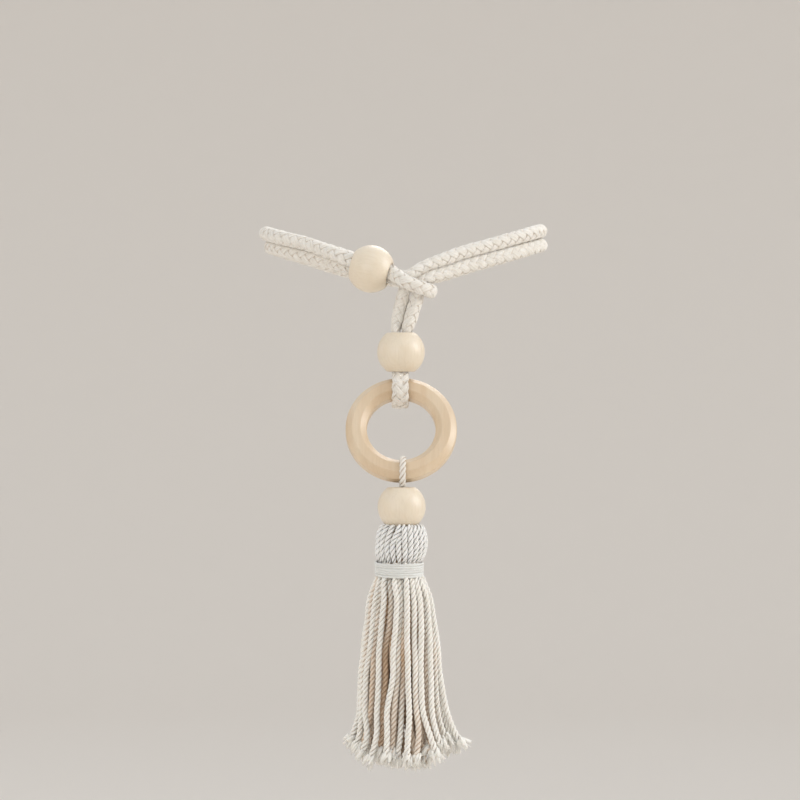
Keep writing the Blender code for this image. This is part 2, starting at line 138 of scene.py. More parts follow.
# route of the doubled rope, in millimetres, from the hook loop round the bundle to the ring:
# the middle of the pair, the direction from the second rope to the first, how far apart the
# two ropes' middles are, and the half thickness of each rope along and across that direction
HOOK_OPEN = (15.6, 3.2, 3.4)
FREE = (7.2, 3.4, 3.45)
TURNING = (7.5, 3.4, 3.45)
TOUCHING = (7.0, 3.3, 3.5)
BORE = (5.3, 2.4, 3.85)
SQUEEZED = (6.4, 3.0, 3.5)
NARROWED = (5.5, 2.45, 3.8)
FLAT = (4.9, 2.25, 4.0)
PAIR_ROUTE = [
    # middle x, y, z         direction            section
    ((5.6, -44.8, -21.8), (0.0, -1.0, 0.0), HOOK_OPEN),
    ((0.0, -44.8, -19.4), (0.0, -1.0, 0.0), (14.6, 3.1, 3.4)),
    ((-6.6, -42.7, -16.0), (-0.1, -0.9, 0.4), (5.6, 2.45, 3.7)),
    ((-11.6, -41.8, -14.6), (0.0, -0.8, 0.6), BORE),
    ((-16.6, -41.0, -13.2), (0.1, -0.8, 0.6), BORE),
    ((-21.4, -40.2, -11.9), (0.1, -0.8, 0.6), BORE),
    ((-26.4, -39.3, -10.5), (-0.1, -0.7, 0.6), BORE),
    ((-31.6, -36.6, -8.8), (-0.3, -0.7, 0.7), TOUCHING),
    ((-38.5, -31.6, -6.4), (-0.3, -0.6, 0.7), FREE),
    ((-48.1, -26.4, -3.5), (-0.2, -0.4, 0.9), FREE),
    ((-59.7, -18.9, -0.5), (-0.3, -0.4, 0.9), FREE),
    ((-66.6, -8.6, 1.6), (-0.4, -0.2, 0.9), FREE),
    ((-68.5, 2.0, 2.4), (-0.3, 0.0, 0.9), FREE),
    ((-66.0, 11.4, 1.8), (-0.2, 0.1, 1.0), FREE),
    ((-58.0, 20.0, -0.3), (0.1, 0.1, 1.0), FREE),
    ((-44.0, 28.8, -4.2), (0.2, 0.0, 1.0), FREE),
    ((-30.0, 34.0, -8.4), (0.3, -0.3, 0.9), TURNING),
    ((-15.0, 36.8, -12.8), (0.2, -0.8, 0.6), TURNING),
    ((0.0, 37.6, -16.4), (0.0, -1.0, 0.3), FREE),
    ((12.0, 37.0, -13.6), (-0.2, -0.8, 0.6), TURNING),
    ((24.0, 35.2, -9.0), (-0.4, -0.3, 0.9), TURNING),
    ((44.0, 28.8, -3.2), (-0.3, 0.0, 0.9), FREE),
    ((58.0, 20.0, 0.6), (0.0, 0.0, 1.0), FREE),
    ((66.0, 11.4, 2.8), (0.0, 0.0, 1.0), FREE),
    ((68.6, 2.0, 3.4), (0.0, 0.0, 1.0), FREE),
    ((66.6, -8.6, 2.6), (-0.1, 0.0, 1.0), FREE),
    ((60.5, -17.7, 0.6), (-0.1, 0.0, 1.0), FREE),
    ((50.7, -25.3, -2.4), (-0.2, 0.0, 1.0), FREE),
    ((41.6, -29.8, -5.1), (-0.3, 0.0, 1.0), FREE),
    ((31.1, -34.3, -8.0), (-0.3, 0.0, 1.0), FREE),
    ((19.8, -39.6, -12.0), (-0.4, 0.0, 0.9), TOUCHING),
    ((11.2, -43.2, -14.9), (-0.5, 0.0, 0.8), SQUEEZED),
    ((6.0, -44.9, -18.3), (-0.8, 0.0, 0.6), SQUEEZED),
    ((3.8, -45.0, -22.8), (-0.9, 0.0, 0.3), SQUEEZED),
    ((2.6, -45.1, -28.0), (-1.0, 0.1, 0.2), TOUCHING),
    ((0.9, -45.6, -34.0), (-0.9, 0.4, 0.1), TOUCHING),
    ((-0.6, -46.3, -40.0), (-0.9, 0.4, 0.1), (6.6, 3.1, 3.5)),
    ((-1.6, -46.8, -43.6), (-0.9, 0.1, 0.1), NARROWED),
    ((-1.7, -47.0, -46.2), (-0.9, -0.1, 0.0), BORE),
    ((-1.7, -47.0, -50.0), (-0.9, -0.3, 0.0), BORE),
    ((-1.7, -47.0, -54.5), (-0.7, -0.7, 0.0), BORE),
    ((-1.8, -47.0, -59.0), (-0.2, -1.0, 0.0), BORE),
    ((-1.9, -47.0, -62.0), (-0.1, -1.0, 0.0), FLAT),
    ((-2.0, -47.0, -64.2), (0.0, -1.0, 0.0), FLAT),
]
HOOK_DIRECTION = np.array((0.951, 0.0, -0.309))
HOOK_REACH = 8.6
HOOK_SECTION = (2.6, 3.4)
HOOK_ANGLES = (-60, -30, 0, 30, 60)
RING_FOLD_RADIUS = 7.6
RING_FOLD_SECTION = (1.9, 4.0)
RING_FOLD_ANGLES = (-120, -90, -60, -30, 0, 30, 60, 90, 120)
ROPE_END_GAP = 1.2 * MM
ROPE_DIAMETER = 7.0 * MM
ROPE_STRIDE = 3  # every so many of the route's points make the core

# the rope's braid: as many soft strands each way, every one over two and under two
STRANDS_EACH_WAY = 4
BRAID_PITCH = 19.5 * MM
BRAID_START = math.radians(45)
BRAID_STEP = 1.0 * MM
BRAID_HALF_WIDTH = 2.0 * MM
BRAID_HALF_HEIGHT = 0.98 * MM
BRAID_DROP = 1.25 * MM
BRAID_SOFTNESS = 1.5
BRAID_SWELL = 1.06
BRAID_CORE_INSET = 2.3 * MM
BRAID_CORE_SIDES = 10
BRAID_UNEVENNESS = 0.06
BRAID_UNEVEN_WAVE = 0.37
# painted shade on the braid: the lit share where a strand dips under and on its underside, and the
# share of that shade lifted where the rope is pressed flat
BRAID_BURIED_LIT_SHARE = 0.15
BRAID_UNDERSIDE_LIT_SHARE = 0.55
BRAID_FOLD_SHADE_LIFT = 0.8
BRAID_SECTION = [
    # angle round the strand (degrees), share of the reach: three yarns lie side by side in it
    (8, 1.0),
    (38, 1.0),
    (58, 0.97),
    (71, 0.85),
    (81, 0.97),
    (90, 1.01),
    (99, 0.97),
    (109, 0.85),
    (122, 0.97),
    (142, 1.0),
    (172, 1.0),
    (235, 0.9),
    (305, 0.9),
]

# thin twisted cord
CORD_RADIUS = 1.65 * MM
CORD_LEG_SPACING = 3.9 * MM
CORD_LOOP = [
    # angle over the ring's lower edge, share of the cord's thickness left by the pressure
    (-45, 0.95),
    (-15, 0.78),
    (15, 0.62),
    (45, 0.60),
    (75, 0.60),
]
CORD_PITCH = 9.0 * MM
CORD_PLIES = 3
CORD_SIDES = 8
CORD_START = 0.4
CORD_STEP = 0.4 * MM
CORD_SWAY = 0.5 * MM

# tassel
HEAD_TOP = TASSEL_BEAD.z - BEAD_HALF_LENGTH - GAP
SOCKET_DEPTH = 5.0 * MM
HEAD_DEPTH_RATIO = 0.94
HEAD_YARNS = 24
HEAD_YARN_ROUTE = [
    # radius of the yarn's middle, z below the head's top, half width of the yarn (mm)
    (4.9, 1.6, 1.1),
    (6.8, 1.0, 1.2),
    (8.2, 0.1, 1.3),
    (9.3, -0.4, 1.4),
    (10.4, 1.1, 1.5),
    (11.1, 3.6, 1.55),
    (11.5, 6.6, 1.55),
    (11.5, 9.6, 1.55),
    (11.2, 12.8, 1.5),
    (10.5, 15.0, 1.35),
    (9.5, 17.0, 1.1),
    (9.2, 19.0, 1.05),
    (9.1, 22.0, 1.0),
]
HEAD_PULLED = {
    # yarns at the front left: degrees the top is drawn to the right, mm it dips at the parting
    14: (4, 0.0),
    15: (9, 0.0),
    16: (15, 0.0),
    17: (6, 2.6),
}
HEAD_LEAN = math.radians(8)
# how far below the head's top its parting reaches, and where its yarns start to lean to the neck
PARTING_DEPTH = 9.0 * MM
PARTING_BLEND = 8.0 * MM
LEAN_START = 8.0 * MM
LEAN_BLEND = 10.0 * MM
CORE_SEGMENTS = 40
CORE_PROFILE = [
    # radius, height above the head's top (mm)
    (0.5, -0.9),
    (5.6, -1.6),
    (7.6, -2.6),
    (9.2, -5.0),
    (9.6, -8.0),
    (9.2, -12.0),
    (8.4, -16.0),
    (7.6, -20.0),
    (7.4, -24.0),
    (0.5, -24.5),
]
NECK_DEPTH = 24.0 * MM
SKIRT_ROOT = HEAD_TOP - NECK_DEPTH
SKIRT_PROFILE = [
    # share of the length, half width at the strands' middles, half width of a strand,
    # sideways (mm)
    (0.0, 9.9, 1.25, -0.8),
    (0.012, 11.1, 1.4, -0.8),
    (0.03, 12.0, 1.5, -0.8),
    (0.06, 13.1, 1.55, -0.8),
    (0.11, 14.6, 1.58, -0.9),
    (0.24, 16.2, 1.58, -0.8),
    (0.40, 18.4, 1.58, -0.4),
    (0.58, 20.2, 1.58, -0.6),
    (0.72, 22.0, 1.58, 0.0),
    (0.87, 25.7, 1.6, 1.1),
    (1.0, 28.3, 1.65, 2.1),
]
SKIRT_LENGTH = 95.4 * MM
SKIRT_SIDE_SHORTER = 8.0 * MM
SKIRT_DEPTH_RATIO = 0.80
SKIRT_ROUND_SHARE = 0.3  # share of the length over which the round neck turns into a flat skirt
ROOT_OVERLAP = 3.0 * MM
RANDOM_SEED = 5
AZIMUTH_JITTER = 0.06
END_JITTER = 2.4 * MM
TUFT_REACH = 3.0 * MM
# painted shade lifted towards the tips of the rows' strands
TIP_SHADE_LIFT = 0.3
# the strands that show at the front: sideways places down the skirt from the tassel's middle
FRONT_HEIGHTS = (-158.0, -162.4, -165.4, -167.8, -176.0, -186.8, -200.0, -213.2, -229.5, -242.0)
FRONT_ROOTS = (0.74, 0.77, 0.93)
FRONT_EDGE = 0.96
# heights at which the front strands' painted shade is given
LIT_SHARE_HEIGHTS = (-240.0, -205.0, -168.0)
FRONT_STRANDS = [
    # share of the depth, height of the end, places (mm), lit share above, halfway and below: the rest
    # is painted shade, deeper where a strand lies back
    (0.45, -248.9, (-12.8, -15.6, -16.9, -18.4, -20.3, -20.4, -23.8, -26.0), (1.0, 1.0, 1.0)),
    (0.70, -252.4, (-12.0, -14.4, -15.6, -17.2, -18.8, -19.7, -20.6, -22.6), (0.6, 0.7, 1.0)),
    (0.92, -255.2, (-11.1, -12.9, -14.2, -15.6, -17.3, -17.8, -17.0, -19.9), (1.0, 1.0, 1.0)),
    (0.72, -252.8, (-9.1, -10.8, -11.9, -13.5, -14.2, -14.9, -17.4, -19.1), (0.8, 0.5, 0.45)),
    (1.00, -257.7, (-8.6, -8.7, -9.8, -11.1, -11.1, -11.9, -12.3, -15.9), (1.0, 1.0, 1.0)),
    (0.72, -254.2, (-6.0, -5.1, -5.9, -7.6, -7.8, -9.3, -9.7, -11.2), (0.8, 0.3, 0.35)),
    (1.00, -257.2, (-3.5, -2.4, -3.0, -4.0, -4.2, -6.9, -7.3, -7.8), (1.0, 1.0, 1.0)),
    (0.85, -254.7, (-1.3, -0.6, -1.0, -1.7, -2.1, -3.7, -4.4, -4.9), (0.9, 0.75, 0.55)),
    (0.76, -258.2, (0.0, 0.9, 0.8, 0.5, 0.6, 0.0, -0.6, -3.0), (0.9, 0.3, 0.95)),
    (1.00, -257.2, (2.4, 2.6, 2.7, 3.0, 3.1, 3.5, 3.1, 2.6), (1.0, 0.9, 1.0)),
    (0.92, -257.7, (5.1, 5.9, 6.3, 6.6, 6.7, 7.0, 8.3, 7.0), (1.0, 0.9, 0.6)),
    (1.00, -255.2, (7.3, 8.9, 9.5, 9.6, 9.6, 10.3, 13.7, 17.5), (1.0, 1.0, 1.0)),
    (0.74, -253.3, (9.0, 10.9, 11.8, 12.2, 12.2, 12.5, 14.4, 12.7), (0.9, 0.6, 0.5)),
    (1.00, -251.3, (9.4, 12.0, 13.1, 14.0, 14.5, 14.8, 17.2, 20.4), (1.0, 1.0, 1.0)),
    (0.66, -248.4, (10.2, 12.7, 14.1, 15.6, 16.5, 17.6, 20.7, 22.9), (0.9, 0.7, 1.0)),
    (0.42, -252.3, (10.8, 13.4, 14.9, 16.7, 17.8, 19.6, 23.4, 26.7), (0.8, 0.7, 1.0)),
    (0.80, -249.8, (11.0, 14.0, 15.6, 17.7, 18.9, 21.9, 26.4, 30.3), (1.0, 1.0, 1.0)),
]
SKIRT_ROWS = [
    # piece, strands, share of the half width, first and last azimuth (degrees), lit share: the inner
    # rows are painted in deeper shade
    ("back", 14, 1.0, 7.5, 172.5, 0.95),
    ("middle", 17, 0.62, 10.0, 348.8, 0.28),
    ("inner", 10, 0.38, 0.0, 324.0, 0.2),
    ("inner", 3, 0.20, 30.0, 270.0, 0.2),
]
YARN_PLIES = 3
YARN_PITCH = 8.0 * MM
YARN_STEP = 0.6 * MM
PLY_SIDES = 7
PLY_SPACING = 0.55
PLY_WIDENING = 1.06
# painted shade on the inner side of the plies, in the grooves between them
GROOVE_SHADE = 0.48
SKIRT_GROOVE_SHADE = 0.31
# how the plies of a cut strand loosen over its last stretch
LOOSE_LENGTH = 9.0 * MM
LOOSE_THINNING = 0.1
LOOSE_OPENING = 0.6
# the frayed tuft at the end of each ply; its curl and overlap are in millimetres
TUFT_CLUMPS = 4
TUFT_FIBRES = 6
TUFT_TAPER = (0.9, 1.1, 1.05, 0.65)
TUFT_TWIST = 0.4
TUFT_SPLAY = 0.35
TUFT_SCATTER = 0.35
TUFT_CURL = 0.3
TUFT_OVERLAP = (2.5, 4.5)
# the tufts' least lit share: they get less painted shade than their strands
TUFT_LIT_SHARE = 0.8
CLUMP = (0.2, (3.8, 6.0), 0.74, 5)  # spread, lengths and width (mm), sides
FIBRE = (0.4, (4.0, 6.6), 0.26, 3)
# how far the fibres of one strand are from those of the next, by the strands' numbers
FIBRE_OFFSETS = (37.0, 5.3, 2.9)
PLY_OFFSET = 0.31
BRAID_CORE_NUMBER = 20
CORD_NUMBER = 3
WRAP_NUMBER = 9
# small bends of the skirt's strands: waves down the skirt, and how far they reach
WANDER_WAVES = (9.0, 23.0)
WANDER_FINE_SHARE = 0.6
WANDER_GROWTH = 5.0
FRONT_WANDER_SIDEWAYS = 0.15 * MM
FRONT_WANDER_DEPTH = 0.4 * MM
ROW_WANDER_SIDEWAYS = 0.9 * MM
ROW_WANDER_OUTWARD = 0.5 * MM

# thread wound round the neck
WRAP_TURNS = 6
WRAP_PITCH = 1.33 * MM
WRAP_TOP = HEAD_TOP - 16.2 * MM
WRAP_RADIUS = 11.4 * MM
WRAP_THREAD_RADIUS = 0.70 * MM
WRAP_SIDEWAYS = -1.2 * MM
WRAP_TILT = 0.085
WRAP_STEP = 0.7 * MM
WRAP_START = 0.6
WRAP_SIDES = 10
WRAP_TUCK = 1.0 * MM
WRAP_TUCK_SHARE = 0.02


def unit(vectors):
    """Vectors of length one."""
    return vectors / np.linalg.norm(vectors, axis=-1, keepdims=True)


def linear(red, green, blue):
    """A display colour, 0 to 255, as the shader's linear values."""
    values = []
    for value in (red, green, blue):
        share = value / 255
        values.append(share / 12.92 if share <= 0.04045 else ((share + 0.055) / 1.055) ** 2.4)
    return (*values, 1.0)


def hermite(knots, rows, places):
    """Values of the columns at the places, on a smooth curve through the rows at the knots."""
    count = len(rows)
    low = np.maximum(np.arange(count) - 1, 0)
    high = np.minimum(np.arange(count) + 1, count - 1)
    slopes = (rows[high] - rows[low]) / (knots[high] - knots[low])[:, None]
    segment = np.clip(np.searchsorted(knots, places, side="right") - 1, 0, count - 2)
    span = (knots[segment + 1] - knots[segment])[:, None]
    t = (places - knots[segment])[:, None] / span
    return ((2 * t**3 - 3 * t**2 + 1) * rows[segment]
            + (t**3 - 2 * t**2 + t) * span * slopes[segment]
            + (3 * t**2 - 2 * t**3) * rows[segment + 1]
            + (t**3 - t**2) * span * slopes[segment + 1])


def smooth_rows(rows, step):
    """Rows at an even step on a smooth curve; the first three columns are a place."""
    rows = np.array(rows, float)
    spans = np.linalg.norm(np.diff(rows[:, :3], axis=0), axis=1)
    knots = np.concatenate(([0.0], np.cumsum(spans)))
    steps = max(2, round(knots[-1] / step))
    return hermite(knots, rows, np.linspace(0.0, knots[-1], steps + 1))


def table_at(rows, places):
    """Columns of a table at the places, which are in its first column."""
    rows = np.array(rows, float)
    return hermite(rows[:, 0], rows, np.asarray(places, float))


def lengths_along(points):
    """How far along the line each point is."""
    return np.concatenate(([0.0], np.cumsum(np.linalg.norm(np.diff(points, axis=0), axis=1))))


def carried_frame(points, start):
    """Tangents of a line and two directions across it that don't turn about it."""
    tangents = unit(np.gradient(points, axis=0))
    normals = np.empty_like(tangents)
    normal = np.asarray(start, float)
    for index, tangent in enumerate(tangents):
        normal = normal - tangent * np.dot(normal, tangent)
        normal = normal / np.linalg.norm(normal)
        normals[index] = normal
    return tangents, normals, np.cross(tangents, normals)


class Strands:
    """Closed tubes gathered for one mesh.

    Each vertex keeps its place in the fibres (along and round its tube) and its lit share: 1 on
    the outside, 0 for the painted shade in the bottom of a gap.
    """

    def __init__(self):
        self.points = []
        self.faces = []
        self.fibres = []
        self.lit_share = []
        self.total = 0

    def add(self, middles, across, above, half_width, half_height, section, number, lit_share,
            pressed=None):
        """A tube: its section lies across and above its middles, which it follows.

        Pressed is a path, directions from it and the share of the distance that is kept.
        """
        count, sides = len(middles), len(section)
        cosines, sines = section[:, 0], section[:, 1]
        ones = np.ones(count)
        wide = (ones * half_width)[:, None, None] * cosines[None, :, None]
        high = (ones * half_height)[:, None, None] * sines[None, :, None]
        ring = middles[:, None, :] + across[:, None, :] * wide + above[:, None, :] * high
        if pressed is not None:
            path, directions, share = pressed
            reach = np.sum((ring - path[:, None, :]) * directions[:, None, :], axis=2)
            ring -= (reach * (1 - share)[:, None])[:, :, None] * directions[:, None, :]
        self.points.append(ring.reshape(-1, 3))
        along = lengths_along(middles) / MM
        fibre = np.empty((count, sides, 3))
        for axis, place in enumerate((along[:, None], cosines[None, :], sines[None, :])):
            fibre[:, :, axis] = place + FIBRE_OFFSETS[axis] * number
        self.fibres.append(fibre.reshape(-1, 3))
        self.lit_share.append((np.ones((count, sides)) * lit_share).reshape(-1))
        start = self.total
        rings = start + np.arange(count - 1)[:, None] * sides
        side = np.arange(sides)[None, :]
        after = (side + 1) % sides
        quads = np.stack((rings + side, rings + after,
                          rings + sides + after, rings + sides + side), axis=-1)
        self.faces += quads.reshape(-1, 4).tolist()
        self.faces.append([start + k for k in range(sides)][::-1])
        last = start + (count - 1) * sides
        self.faces.append([last + k for k in range(sides)])
        self.total += count * sides

    def finish(self, name, material):
        """All the tubes as one piece."""
        return make_piece(name, np.concatenate(self.points), self.faces, material,
                          np.concatenate(self.fibres), np.concatenate(self.lit_share))


def make_piece(name, points, faces, material, fibres=None, lit_share=None):
    """A smooth shaded mesh object, with the fibres and the lit share that a cotton material reads to
    paint shade.
    """
    mesh = bpy.data.meshes.new(name)
    mesh.from_pydata(np.asarray(points).tolist(), [], faces)
    if fibres is not None:
        layer = mesh.attributes.new("fibre", "FLOAT_VECTOR", "POINT")
        layer.data.foreach_set("vector", fibres.astype(np.float32).ravel())
        layer = mesh.attributes.new("lit_share", "FLOAT", "POINT")
        layer.data.foreach_set("value", lit_share.astype(np.float32))
    mesh.materials.append(material)
    mesh.shade_smooth()
    piece = bpy.data.objects.new(name, mesh)
    bpy.context.scene.collection.objects.link(piece)
    return piece


def even_section(sides):
    """Across and above of the corners of an even section."""
    turns = np.arange(sides) * 2 * math.pi / sides
    return np.stack((np.cos(turns), np.sin(turns)), axis=1)


def twist_plies(strands, path, radius, plies, pitch, phase, start, number, lit_share=1.0,
                groove=GROOVE_SHADE, sides=PLY_SIDES, opening=1.0, thickness=None):
    """A yarn of plies twisted to the right round a path.

    The lit share paints shade into the whole yarn, and the groove is how much more painted shade
    the plies get on their inner side. The opening multiplies the distance of the plies from the
    path, where they come apart; the thickness is the share that pressure leaves. Returns the last
    point and direction of each ply.
    """
    radius = np.ones(len(path)) * radius
    lit_share = np.ones(len(path)) * lit_share
    _, normals, others = carried_frame(path, start)
    along = lengths_along(path)
    pressed = None if thickness is None else (path, others, thickness)
    section = even_section(sides)
    shade = lit_share[:, None] * (1 - groove + groove * section[:, 1])[None, :]
    half_height = radius * (1 - PLY_SPACING)
    ends = []
    for ply in range(plies):
        turn = phase + 2 * math.pi * along / pitch + 2 * math.pi * ply / plies
        radial = normals * np.cos(turn)[:, None] + others * np.sin(turn)[:, None]
        middle = path + radial * (radius * PLY_SPACING * opening)[:, None]
        forward = unit(np.gradient(middle, axis=0))
        across = unit(np.cross(radial, forward))
        strands.add(middle, across, np.cross(forward, across), half_height * PLY_WIDENING,
                    half_height, section, number + PLY_OFFSET * ply, shade, pressed)
        ends.append((middle[-1], forward[-1]))
    return ends


def pair_rows(side):
    """Rows of one rope of the pair: place, outward direction and half thicknesses, in millimetres.

    The side is 1 for the first rope and -1 for the second.
    """
    rows = []
    for middle, direction, (spacing, half_along, half_across) in PAIR_ROUTE:
        outward = unit(np.array(direction)) * side
        place = np.array(middle) + outward * spacing / 2
        rows.append([*place, *outward, half_along, half_across])
    return rows


def fold_rows(centre, forward, start, angles, reach, half_gap, section):
    """Rows round a fold of the rope, from the rope on the start side to the other."""
    rows = []
    for angle in angles:
        turn = math.radians(angle)
        place = centre + start * half_gap * -math.sin(turn) + forward * reach * math.cos(turn)
        outward = unit(start * -math.sin(turn) + forward * math.cos(turn))
        rows.append([*place, *outward, *section])
    return rows


def rope_rows():
    """The whole rope, from its end inside the ring bead, round the ring and back to that bead."""
    first, second = pair_rows(1), pair_rows(-1)
    cut = min(range(len(second)), key=lambda row: abs(second[row][2] - RING_BEAD.z / MM))
    upper_end, lower_end = second[cut][:], second[cut][:]
    upper_end[2] += ROPE_END_GAP / MM / 2
    lower_end[2] -= ROPE_END_GAP / MM / 2
    ring_top = (RING_CENTRE + RING_RADIUS * RING_UP) / MM
    ring_top[0] = PAIR_ROUTE[-1][0][0]
    ring_fold = fold_rows(ring_top, -UP, BACK, RING_FOLD_ANGLES,
                          RING_FOLD_RADIUS, RING_FOLD_RADIUS, RING_FOLD_SECTION)
    hook_centre = np.array(PAIR_ROUTE[0][0])
    hook_fold = fold_rows(hook_centre, HOOK_DIRECTION, -BACK, HOOK_ANGLES,
                          HOOK_REACH, HOOK_OPEN[0] / 2, HOOK_SECTION)
    rows = ([lower_end] + second[cut + 1:] + ring_fold
            + first[::-1] + hook_fold + second[:cut] + [upper_end])
    return np.array(rows)


def make_rope(material):
    """The braid: strands that run round the rope both ways, over two and under two, on a core, with
    painted shade where they dip under, on their undersides and on the core.
    """
    points = smooth_rows(rope_rows(), BRAID_STEP / MM)
    middle = points[:, :3] * MM
    half_out, half_side = points[:, 6] * MM * BRAID_SWELL, points[:, 7] * MM * BRAID_SWELL
    tangent = unit(np.gradient(middle, axis=0))
    outward = points[:, 3:6]
    outward = unit(outward - tangent * np.sum(outward * tangent, axis=1, keepdims=True))
    sideways = np.cross(tangent, outward)
    along = lengths_along(middle)
    fullness = np.sqrt((half_out**2 + half_side**2) / 2) / (ROPE_DIAMETER / 2)
    crossings = 2 * STRANDS_EACH_WAY * along / BRAID_PITCH
    # painted shade lifted where the rope is pressed flat
    closed = BRAID_FOLD_SHADE_LIFT * np.clip(1 - half_out / half_side, 0, 1)
    table = np.array(BRAID_SECTION)
    angles = np.radians(table[:, 0])
    section = np.stack((np.cos(angles), np.sin(angles)), axis=1) * table[:, 1:]
    # painted shade on the underside of each strand
    facing_lit_share = BRAID_UNDERSIDE_LIT_SHARE + (1 - BRAID_UNDERSIDE_LIT_SHARE) * section[:, 1]
    strands = Strands()
    for direction in (1, -1):
        for strand in range(STRANDS_EACH_WAY):
            turn = BRAID_START + direction * 2 * math.pi * along / BRAID_PITCH
            turn = turn + 2 * math.pi * strand / STRANDS_EACH_WAY
            phase = math.pi / 2 * (2 * strand + direction * crossings - 0.5)
            lift = direction * np.tanh(BRAID_SOFTNESS * np.cos(phase)) / math.tanh(BRAID_SOFTNESS)
            uneven = BRAID_UNEVENNESS * np.sin(along / MM * BRAID_UNEVEN_WAVE + 2.1 * strand
                                               + direction)
            height = 0.5 + 0.5 * lift
            inset = BRAID_HALF_HEIGHT + (1 - height) * BRAID_DROP
            across_out = outward * ((half_out - inset) * np.cos(turn))[:, None]
            across_side = sideways * ((half_side - inset) * np.sin(turn))[:, None]
            path = middle + across_out + across_side
            normal = unit(outward * (np.cos(turn) / half_out)[:, None]
                          + sideways * (np.sin(turn) / half_side)[:, None])
            forward = unit(np.gradient(path, axis=0))
            across = unit(np.cross(normal, forward))
            above = np.cross(forward, across)
            width = BRAID_HALF_WIDTH * fullness * (0.92 + 0.1 * height + uneven)
            # painted shade where a strand dips under the others
            height_lit_share = BRAID_BURIED_LIT_SHARE + (1 - BRAID_BURIED_LIT_SHARE) * height
            shade = height_lit_share[:, None] * facing_lit_share[None, :]
            shade += (1 - shade) * closed[:, None]
            strands.add(path, across, above, width, BRAID_HALF_HEIGHT * (1 + uneven),
                        section, strand + (0.5 if direction > 0 else 0.0), shade)
    # the core under the strands is painted wholly in the gaps' shade colour
    every = slice(None, None, ROPE_STRIDE)
    strands.add(middle[every], outward[every], sideways[every],
                half_out[every] - BRAID_CORE_INSET, half_side[every] - BRAID_CORE_INSET,
                even_section(BRAID_CORE_SIDES), BRAID_CORE_NUMBER, 0.0)
    rope = strands.finish("braided_rope", material)
    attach(rope, "root")
    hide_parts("rope")
    return rope


def cord_path():
    """Route of the hanging cord: up from the head's socket, over the ring's lower edge and down."""
    ring_bottom = RING_CENTRE - RING_RADIUS * RING_UP
    foot = HEAD_TOP - (SOCKET_DEPTH - GAP)
    bead_top = TASSEL_BEAD.z + BEAD_HALF_LENGTH
    half = CORD_LEG_SPACING / 2
    half_route = [(half, foot, 1.0), (half, TASSEL_BEAD.z, 1.0), (half, bead_top - 1.0 * MM, 1.0)]
    for angle, thickness in CORD_LOOP:
        turn = math.radians(angle)
        radius = RING_SECTION + GAP + CORD_RADIUS * thickness
        half_route.append((radius * math.cos(turn), ring_bottom[2] + radius * math.sin(turn),
                           thickness))
    route = [(-y, z, flat) for y, z, flat in half_route] + half_route[::-1]
    rows = []
    for offset, height, thickness in route:
        sway = (height - HEAD_TOP) / (ring_bottom[2] - HEAD_TOP) * CORD_SWAY
        rows.append([TASSEL_BEAD.x + sway, TASSEL_BEAD.y + offset, height, thickness])
    rows = smooth_rows(rows, CORD_STEP)
    return rows[:, :3], rows[:, 3]


def make_cord(material):
    """The twisted cord from the ring to the tassel, pressed flatter where it lies on the ring."""
    path, thickness = cord_path()
    strands = Strands()
    twist_plies(strands, path, CORD_RADIUS, CORD_PLIES, CORD_PITCH, CORD_START, (1.0, 0.0, 0.0),
                CORD_NUMBER, sides=CORD_SIDES, thickness=thickness)
    cord = strands.finish("twisted_cord", material)
    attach(cord, "root")
    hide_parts("hanging_cord")
    return cord


def lathe_points(profile, segments):
    """Points of a closed profile of radius and height, turned about Z."""
    turns = np.arange(segments) * 2 * math.pi / segments
    profile = np.array(profile)
    points = np.empty((segments, len(profile), 3))
    points[:, :, 0] = profile[None, :, 0] * np.cos(turns)[:, None]
    points[:, :, 1] = profile[None, :, 0] * np.sin(turns)[:, None]
    points[:, :, 2] = profile[None, :, 1]
    return points.reshape(-1, 3)


def lathe_faces(ring_size, segments):
    """Faces between the points of a closed profile that is turned about Z."""
    faces = []
    for segment in range(segments):
        low = segment * ring_size
        high = ((segment + 1) % segments) * ring_size
        for side in range(ring_size):
            after = (side + 1) % ring_size
            faces.append((low + side, low + after, high + after, high + side))
    return faces


def bead_profile():
    """One side of a bead's section, with rounded rims at the bore and round the flats."""
    inner = BORE_RADIUS + BEAD_EDGE
    half = []
    for step in range(BEAD_EDGE_STEPS + 1):
        turn = math.radians(180 - 90 * step / BEAD_EDGE_STEPS)
        half.append((inner + BEAD_EDGE * math.cos(turn),
                     BEAD_HALF_LENGTH - BEAD_EDGE + BEAD_EDGE * math.sin(turn)))
    rim_height = BEAD_HALF_LENGTH - BEAD_RIM
    rim_angle = math.asin(rim_height / (BEAD_RADIUS - BEAD_RIM))
    rim_radius = (BEAD_RADIUS - BEAD_RIM) * math.cos(rim_angle)
    for step in range(BEAD_RIM_STEPS + 1):
        turn = math.radians(90) + (rim_angle - math.radians(90)) * step / BEAD_RIM_STEPS
        half.append((rim_radius + BEAD_RIM * math.cos(turn), rim_height + BEAD_RIM * math.sin(turn)))
    for step in range(1, BEAD_SIDE_STEPS):
        angle = rim_angle * (1 - step / BEAD_SIDE_STEPS)
        half.append((BEAD_RADIUS * math.cos(angle), BEAD_RADIUS * math.sin(angle)))
    lower = [(radius, -height) for radius, height in half[::-1]]
    return half + [(BEAD_RADIUS, 0.0)] + lower


def make_bead(name, node, centre, axis, material):
    """A turned bead with its bore along the axis, in the place of the bead that the node holds."""
    profile = bead_profile()[::-1]
    bead = make_piece(name, lathe_points(profile, BEAD_SEGMENTS),
                      lathe_faces(len(profile), BEAD_SEGMENTS), material)
    bead.location = centre
    bead.rotation_mode = "QUATERNION"
    bead.rotation_quaternion = axis.to_track_quat("Z", "Y")
    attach(bead, "root")
    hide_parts(node)
    return bead


